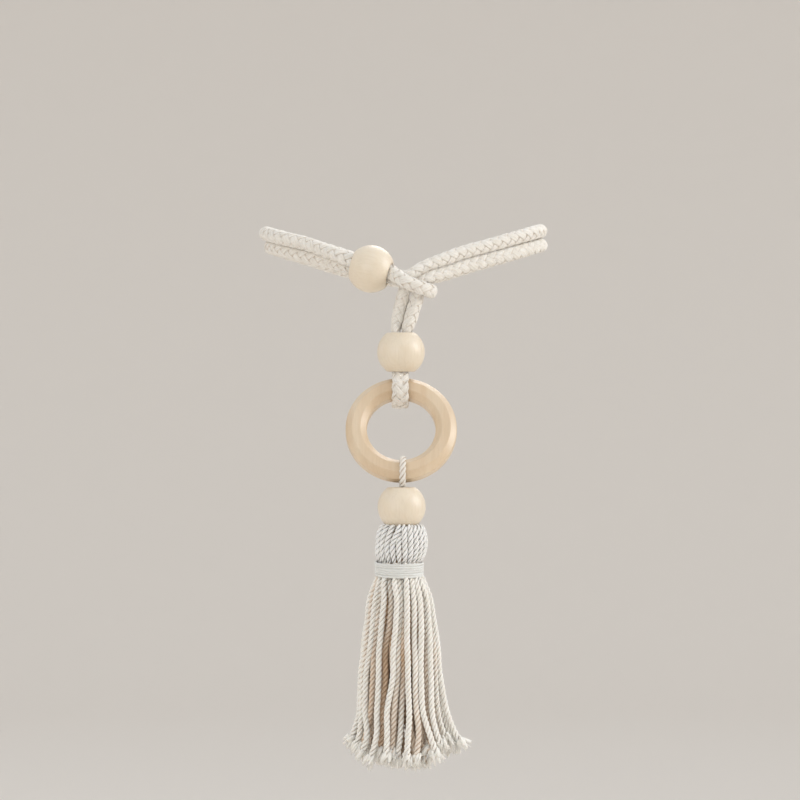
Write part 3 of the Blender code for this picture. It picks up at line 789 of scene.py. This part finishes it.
def make_ring(material):
    """A turned ring, whose section has eight soft flats."""
    profile = []
    for side in range(RING_SIDES):
        turn = 2 * math.pi * side / RING_SIDES
        powers = sum(abs(math.cos(turn - math.pi / 4 * flat)) ** RING_SHARPNESS
                     for flat in range(4))
        reach = RING_FLAT * powers ** (-1 / RING_SHARPNESS)
        profile.append((RING_RADIUS + reach * math.cos(turn), reach * math.sin(turn)))
    ring = make_piece("turned_ring", lathe_points(profile, RING_SEGMENTS),
                      lathe_faces(RING_SIDES, RING_SEGMENTS), material)
    ring.location = RING_CENTRE
    ring.rotation_euler = (math.pi / 2 - RING_LEAN, 0.0, 0.0)
    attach(ring, "root")
    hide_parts("wood_ring")
    return ring


def head_path(number):
    """A yarn from under the bead, over the head's shoulder and into the neck."""
    rows = [[radius, below, 0.0, half] for radius, below, half in HEAD_YARN_ROUTE]
    points = smooth_rows(rows, YARN_STEP / MM)
    radius, below, half = points[:, 0] * MM, points[:, 1] * MM, points[:, 3] * MM
    azimuth = 2 * math.pi * (number + 0.5) / HEAD_YARNS
    drawn, dip = HEAD_PULLED.get(number, (0, 0.0))
    near_top = np.clip((PARTING_DEPTH - below) / PARTING_BLEND, 0, 1) ** 1.5
    near_neck = np.clip((below - LEAN_START) / LEAN_BLEND, 0, 1)
    turn = azimuth + math.radians(drawn) * near_top
    turn += HEAD_LEAN * max(0.0, -math.sin(azimuth)) * near_neck
    below = below + dip * MM * near_top**2
    radius = radius - dip * MM * 0.5 * near_top
    sway = WRAP_SIDEWAYS * near_neck
    path = np.stack((TASSEL_BEAD.x + sway + radius * np.cos(turn),
                     TASSEL_BEAD.y + radius * np.sin(turn) * HEAD_DEPTH_RATIO,
                     HEAD_TOP - below), axis=1)
    return path, half, azimuth


def skirt_width(heights):
    """Half width of the skirt, half width of a strand, sideways shift and depth at the heights."""
    share = np.clip((SKIRT_ROOT - heights) / SKIRT_LENGTH, 0.0, 1.0)
    table = table_at(SKIRT_PROFILE, share)
    depth_ratio = 1.0 - (1.0 - SKIRT_DEPTH_RATIO) * np.minimum(1.0, share / SKIRT_ROUND_SHARE)
    return table[:, 1] * MM, table[:, 2] * MM, table[:, 3] * MM, depth_ratio


def strand_wander(heights, phase, size):
    """Small irregular bends that grow from nothing at the neck."""
    below = np.maximum(0.0, SKIRT_ROOT - heights) / SKIRT_LENGTH
    grown = np.minimum(1.0, below * WANDER_GROWTH)
    coarse = np.sin(WANDER_WAVES[0] * below + phase)
    fine = np.sin(WANDER_WAVES[1] * below + 2.3 * phase)
    return size * grown * (coarse + WANDER_FINE_SHARE * fine)


def front_path(share, end, places, lit_share, phase):
    """A strand whose sideways places are given, on the skirt's front."""
    first = places[0]
    sideways = [first * root for root in FRONT_ROOTS] + list(places)
    heights = list(FRONT_HEIGHTS) + [end + TUFT_REACH / MM]
    rows = [[x, 0.0, z] for x, z in zip(sideways, heights)]
    points = smooth_rows(rows, YARN_STEP / MM) * MM
    half_width, radius, shift, depth_ratio = skirt_width(points[:, 2])
    across = np.clip((points[:, 0] - shift) / half_width, -FRONT_EDGE, FRONT_EDGE)
    depth = half_width * depth_ratio * share * np.sqrt(1 - across**2)
    depth += strand_wander(points[:, 2], phase, FRONT_WANDER_DEPTH)
    wander = strand_wander(points[:, 2], phase, FRONT_WANDER_SIDEWAYS)
    path = np.stack((TASSEL_BEAD.x + points[:, 0] + wander, TASSEL_BEAD.y - depth, points[:, 2]),
                    axis=1)
    lit_share_here = np.interp(points[:, 2], np.array(LIT_SHARE_HEIGHTS) * MM, lit_share[::-1])
    return path, radius, lit_share_here


def row_path(share, azimuth, drop, phase):
    """A strand that hangs from the neck at an azimuth, in one of the skirt's rows."""
    steps = round(drop / YARN_STEP)
    top = SKIRT_ROOT + ROOT_OVERLAP
    heights = top - (drop + ROOT_OVERLAP) * np.linspace(0.0, 1.0, steps + 1)
    half_width, radius, shift, depth_ratio = skirt_width(heights)
    side = strand_wander(heights, phase, ROW_WANDER_SIDEWAYS * (0.4 + 0.6 * share))
    reach = half_width * share + strand_wander(heights, phase + 2.0, ROW_WANDER_OUTWARD)
    path = np.stack((TASSEL_BEAD.x + shift + math.cos(azimuth) * reach - math.sin(azimuth) * side,
                     TASSEL_BEAD.y + math.sin(azimuth) * reach * depth_ratio
                     + math.cos(azimuth) * side,
                     heights), axis=1)
    return path, radius


def add_tuft(strands, ends, radius, rng, number, lit_share):
    """Frayed cut end of each ply: tapering clumps and loose fibres that spread."""
    axis = np.mean([middle for middle, _ in ends], axis=0)
    hanging = unit(np.mean([forward for _, forward in ends], axis=0))
    for middle, twisted in ends:
        outward = (middle - axis) / radius
        forward = unit(TUFT_TWIST * twisted + (1 - TUFT_TWIST) * hanging)
        for index in range(TUFT_CLUMPS + TUFT_FIBRES):
            spreading, lengths, width, sides = CLUMP if index < TUFT_CLUMPS else FIBRE
            spread = np.array([rng.uniform(-1, 1) for _ in range(3)])
            curl = np.array([rng.uniform(-1, 1) for _ in range(3)]) * TUFT_CURL * MM
            lean = unit(forward + TUFT_SPLAY * outward + spreading * spread)
            scattered = middle + radius * TUFT_SCATTER * spread
            start = scattered - forward * rng.uniform(*TUFT_OVERLAP) * MM
            length = rng.uniform(*lengths) * MM
            half_width = width * MM * np.array(TUFT_TAPER)
            t = np.linspace(0.0, 1.0, len(TUFT_TAPER))[:, None]
            path = start + forward * length * t * 0.5 + lean * length * t**1.5 * 0.5 + curl * t**2
            _, normals, others = carried_frame(path, (1.0, 0.1, 0.2))
            strands.add(path, normals, others, half_width, half_width, even_section(sides),
                        number, lit_share)


def add_strand(strands, path, radius, lit_share, start, phase, number, rng):
    """A cut strand of the skirt: its plies loosen and fray at the end."""
    from_end = lengths_along(path)[-1] - lengths_along(path)
    loosened = np.clip(1 - from_end / LOOSE_LENGTH, 0, 1) ** 1.8
    ends = twist_plies(strands, path, radius * (1 - LOOSE_THINNING * loosened), YARN_PLIES,
                       YARN_PITCH, phase, start, number, lit_share, SKIRT_GROOVE_SHADE,
                       opening=1 + LOOSE_OPENING * loosened)
    # the tuft gets less painted shade than its strand
    tuft_lit_share = TUFT_LIT_SHARE + (1 - TUFT_LIT_SHARE) * lit_share[-1]
    add_tuft(strands, ends, radius[-1], rng, number, tuft_lit_share)


def make_tassel(material, head_material):
    """Yarns folded over the cord: the head above the binding and the skirt's rows below it."""
    rng = random.Random(RANDOM_SEED)
    groups = {name: Strands() for name in ("head", "front", "back", "middle", "inner")}
    for number in range(HEAD_YARNS):
        path, radius, azimuth = head_path(number)
        twist_plies(groups["head"], path, radius, YARN_PLIES, YARN_PITCH,
                    rng.uniform(0, 2 * math.pi), (math.cos(azimuth), math.sin(azimuth), 0.01), number)
    for number, (share, end, places, lit_share) in enumerate(FRONT_STRANDS, HEAD_YARNS):
        phase = rng.uniform(0, 2 * math.pi)
        path, radius, lit_share_here = front_path(share, end, places, lit_share, phase)
        add_strand(groups["front"], path, radius, lit_share_here, (0.0, -1.0, 0.01), phase, number, rng)
    number = HEAD_YARNS + len(FRONT_STRANDS)
    for group, count, share, first, last, lit_share in SKIRT_ROWS:
        for index in range(count):
            azimuth = math.radians(first + (last - first) * index / (count - 1))
            azimuth += rng.uniform(-AZIMUTH_JITTER, AZIMUTH_JITTER) / share**0.5
            drop = SKIRT_LENGTH - SKIRT_SIDE_SHORTER * abs(math.cos(azimuth))**3 * share
            drop -= TUFT_REACH + END_JITTER * rng.random()
            phase = rng.uniform(0, 2 * math.pi)
            path, radius = row_path(share * rng.uniform(0.95, 1.0), azimuth, drop, phase)
            # painted shade on the rows' strands, lifted towards their tips
            lit_share_here = lit_share + TIP_SHADE_LIFT * np.linspace(0.0, 1.0, len(path))**3
            add_strand(groups[group], path, radius, lit_share_here,
                       (math.cos(azimuth), math.sin(azimuth), 0.01), phase, number, rng)
            number += 1
    pieces = [strands.finish("tassel_%s_yarns" % name,
                             head_material if name == "head" else material)
              for name, strands in groups.items()]
    # the core reads no lit share, so it is painted wholly in the gaps' shade colour
    pieces.append(make_piece("tassel_core", lathe_points(np.array(CORE_PROFILE) * MM, CORE_SEGMENTS),
                             lathe_faces(len(CORE_PROFILE), CORE_SEGMENTS), material))
    pieces[-1].location = (TASSEL_BEAD.x, TASSEL_BEAD.y, HEAD_TOP)
    for piece in pieces:
        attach(piece, "root")
    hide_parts("tassel")
    return pieces


def make_wrap(material):
    """Smooth thread wound round the neck, its ends tucked under."""
    length = 2 * math.pi * WRAP_RADIUS * WRAP_TURNS
    t = np.linspace(0.0, 1.0, round(length / WRAP_STEP))
    turn = 2 * math.pi * WRAP_TURNS * t + WRAP_START
    tuck = np.clip(1 - np.minimum(t, 1 - t) / WRAP_TUCK_SHARE, 0, 1)
    radius = WRAP_RADIUS - WRAP_TUCK * tuck + 0.05 * MM * np.sin(turn * 2.3)
    height = WRAP_TOP - WRAP_PITCH * (0.5 + (WRAP_TURNS - 1) * t) + 0.10 * MM * np.sin(turn * 1.37)
    radial = np.stack((np.cos(turn), np.sin(turn), np.zeros(len(t))), axis=1)
    path = radial * radius[:, None]
    path += (TASSEL_BEAD.x + WRAP_SIDEWAYS, TASSEL_BEAD.y, 0.0)
    path[:, 2] += height + WRAP_TILT * WRAP_RADIUS * np.sin(turn)
    forward = unit(np.gradient(path, axis=0))
    across = unit(np.cross(radial, forward))
    section = even_section(WRAP_SIDES)
    strands = Strands()
    # painted shade on the thread's inner side and where its turns meet
    strands.add(path, across, np.cross(forward, across), WRAP_THREAD_RADIUS, WRAP_THREAD_RADIUS,
                section, WRAP_NUMBER, (0.5 + 0.5 * section[:, 1])[None, :])
    wrap = strands.finish("neck_thread", material)
    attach(wrap, "root")
    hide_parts("neck_wrap")
    return wrap


class Nodes:
    """A material's node tree, with short ways to add to it."""

    def __init__(self, name):
        self.material = bpy.data.materials.new(name)
        self.material.use_nodes = True
        self.tree = self.material.node_tree
        self.shader = self.tree.nodes["Principled BSDF"]

    def add(self, kind, **settings):
        """A new node of the kind, with the settings."""
        node = self.tree.nodes.new(kind)
        for key, value in settings.items():
            setattr(node, key, value)
        return node

    def link(self, output, target):
        """A link from the output to the target."""
        self.tree.links.new(output, target)

    def set_shader(self, values):
        """Values of the surface shader's sockets."""
        for socket, value in values.items():
            self.shader.inputs[socket].default_value = value

    def ramp(self, value, stops):
        """A colour ramp over a value, between two stops: places and colours."""
        node = self.add("ShaderNodeValToRGB")
        for element, (place, colour) in zip(node.color_ramp.elements, stops):
            element.position = place
            element.color = colour
        self.link(value, node.inputs["Fac"])
        return node.outputs["Color"]

    def stretched(self, vector, scale):
        """The vector with each axis scaled."""
        node = self.add("ShaderNodeMapping")
        node.inputs["Scale"].default_value = scale
        self.link(vector, node.inputs["Vector"])
        return node.outputs["Vector"]

    def noise(self, vector, scale, detail=3.0, roughness=0.5):
        """Noise over a vector, 0 to 1."""
        node = self.add("ShaderNodeTexNoise")
        node.inputs["Scale"].default_value = scale
        node.inputs["Detail"].default_value = detail
        node.inputs["Roughness"].default_value = roughness
        self.link(vector, node.inputs["Vector"])
        return node.outputs["Fac"]

    def mix(self, factor, first, second, blend="MIX"):
        """A mix of two colours; each of the three may be a value or an output."""
        node = self.add("ShaderNodeMix", data_type="RGBA", blend_type=blend)
        for value, socket in ((factor, 0), (first, 6), (second, 7)):
            if hasattr(value, "links"):
                self.link(value, node.inputs[socket])
            else:
                node.inputs[socket].default_value = value
        return node.outputs[2]

    def bump(self, height, distance, strength):
        """A normal from a height."""
        node = self.add("ShaderNodeBump")
        node.inputs["Distance"].default_value = distance
        node.inputs["Strength"].default_value = strength
        self.link(height, node.inputs["Height"])
        return node.outputs["Normal"]


def cotton_material(name, pale, shaded, gap_shade, fineness):
    """Soft cotton: fine fibres along each yarn, with warm painted shade in the gaps and grooves."""
    nodes = Nodes(name)
    fibre = nodes.add("ShaderNodeAttribute", attribute_name="fibre").outputs["Vector"]
    lit_share = nodes.add("ShaderNodeAttribute", attribute_name="lit_share").outputs["Fac"]
    streaks = nodes.noise(nodes.stretched(fibre, (0.25, fineness, fineness)), 1.6, 4.0, 0.65)
    patches = nodes.noise(nodes.stretched(fibre, (0.12, 0.4, 0.4)), 1.0, 2.0)
    surface = nodes.ramp(streaks, [(0.25, linear(*shaded)), (0.6, linear(*pale))])
    tone = nodes.ramp(patches, [(0.3, (0.93, 0.92, 0.90, 1.0)), (0.7, WHITE)])
    surface = nodes.mix(1.0, surface, tone, "MULTIPLY")
    # painted shade: the lower the lit share, the more of the gaps' shade colour
    gap = nodes.ramp(lit_share, [(0.1, WHITE), (0.75, BLACK)])
    nodes.link(nodes.mix(gap, surface, linear(*gap_shade)), nodes.shader.inputs["Base Color"])
    nodes.link(nodes.bump(streaks, COTTON_BUMP, 0.8), nodes.shader.inputs["Normal"])
    nodes.set_shader(COTTON_SHADER)
    return nodes.material


def wood_material(name, pale, dark, grain, contrast, roughness, gloss):
    """Bare turned wood: growth bands across the grain and fine pores along it."""
    nodes = Nodes(name)
    place = nodes.add("ShaderNodeTexCoord").outputs["Object"]
    bands = nodes.noise(nodes.stretched(place, grain), 120.0, 3.0, 0.55)
    pores = nodes.noise(nodes.stretched(place, tuple(3.0 * value for value in grain)), 420.0, 2.0)
    surface = nodes.ramp(bands, [(0.5 - contrast, linear(*dark)), (0.5 + contrast, linear(*pale))])
    fine = nodes.ramp(pores, [(0.3, (0.96, 0.95, 0.93, 1.0)), (0.55, WHITE)])
    nodes.link(nodes.mix(1.0, surface, fine, "MULTIPLY"), nodes.shader.inputs["Base Color"])
    nodes.link(nodes.bump(pores, WOOD_BUMP, 0.5), nodes.shader.inputs["Normal"])
    rough = nodes.add("ShaderNodeMapRange")
    rough.inputs["To Min"].default_value = roughness - 0.05
    rough.inputs["To Max"].default_value = roughness + 0.08
    nodes.link(bands, rough.inputs["Value"])
    nodes.link(rough.outputs["Result"], nodes.shader.inputs["Roughness"])
    nodes.set_shader(WOOD_SHADER)
    nodes.set_shader({"Specular IOR Level": gloss, "Coat Weight": WOOD_COAT_SHARE * gloss})
    return nodes.material


def make_stage():
    """A pale floor that turns up into a wall all round, with the view in its middle."""
    profile = [(STAGE_HOLE, 0.0), (STAGE_RADIUS - STAGE_CORNER, 0.0)]
    for step in range(1, STAGE_CORNER_STEPS + 1):
        turn = math.radians(90 * step / STAGE_CORNER_STEPS)
        profile.append((STAGE_RADIUS - STAGE_CORNER + STAGE_CORNER * math.sin(turn),
                        STAGE_CORNER - STAGE_CORNER * math.cos(turn)))
    profile.append((STAGE_RADIUS, STAGE_HEIGHT))
    points = lathe_points(profile, STAGE_SEGMENTS)
    faces = []
    for segment in range(STAGE_SEGMENTS):
        low = segment * len(profile)
        high = (segment + 1) % STAGE_SEGMENTS * len(profile)
        for k in range(len(profile) - 1):
            faces.append((low + k, high + k, high + k + 1, low + k + 1))
    faces.append([segment * len(profile) for segment in range(STAGE_SEGMENTS)])
    nodes = Nodes("stage_paper")
    nodes.set_shader({"Base Color": linear(*STAGE_COLOUR), "Roughness": 1.0,
                      "Specular IOR Level": 0.0})
    stage = make_piece("stage", points, faces, nodes.material)
    stage.location = (0.0, 0.0, FLOOR_HEIGHT)


def aim(lamp, target):
    """Turns a lamp to face the target."""
    direction = Vector(target) - lamp.location
    lamp.rotation_mode = "QUATERNION"
    lamp.rotation_quaternion = direction.to_track_quat("-Z", "Y")


def make_camera():
    """A level camera straight in front."""
    data = bpy.data.cameras.new("camera")
    data.sensor_width = SENSOR_WIDTH
    data.lens = SENSOR_WIDTH * CAMERA_DISTANCE / VIEW_WIDTH
    camera = bpy.data.objects.new("camera", data)
    camera.location = (VIEW_CENTRE[0], VIEW_CENTRE[1] - CAMERA_DISTANCE, VIEW_CENTRE[2])
    camera.rotation_euler = (math.pi / 2, 0.0, 0.0)
    bpy.context.scene.collection.objects.link(camera)
    bpy.context.scene.camera = camera


def make_lamp(name, place, width, power, colour):
    """A round soft lamp that faces the object."""
    data = bpy.data.lights.new(name, "AREA")
    data.shape = "DISK"
    data.size = width
    data.spread = LAMP_SPREAD
    data.energy = power
    data.color = colour
    lamp = bpy.data.objects.new(name, data)
    lamp.location = place
    aim(lamp, VIEW_CENTRE)
    lamp.visible_camera = False
    bpy.context.scene.collection.objects.link(lamp)


def make_lights():
    """Daylight from all round, a key lamp from the right, a wide one in front and one behind."""
    for lamp in LAMPS:
        make_lamp(*lamp)
    world = bpy.data.worlds.new("studio")
    world.use_nodes = True
    background = world.node_tree.nodes["Background"]
    background.inputs["Color"].default_value = DAYLIGHT_COLOUR
    background.inputs["Strength"].default_value = DAYLIGHT_STRENGTH
    bpy.context.scene.world = world


def set_view():
    """Colours are shown as they are, with no look or exposure over them."""
    view = bpy.context.scene.view_settings
    view.view_transform = "Standard"
    view.look = "None"
    view.exposure = 0.0


def main():
    """The camera, the light, the stage and every piece."""
    make_camera()
    set_view()
    make_lights()
    make_stage()
    rope_cotton, yarn_cotton, head_cotton, thread_cotton = (cotton_material(*row)
                                                            for row in COTTONS)
    bead_wood, ring_wood = (wood_material(*row) for row in WOODS)
    make_rope(rope_cotton)
    make_cord(rope_cotton)
    make_bead("tie_bead_turned", "tie_bead", TIE_BEAD, TIE_BEAD_AXIS, bead_wood)
    make_bead("ring_bead_turned", "ring_bead", RING_BEAD, Vector(UP), bead_wood)
    make_bead("tassel_bead_turned", "tassel_bead", TASSEL_BEAD, Vector(UP), bead_wood)
    make_ring(ring_wood)
    make_tassel(yarn_cotton, head_cotton)
    make_wrap(thread_cotton)


main()
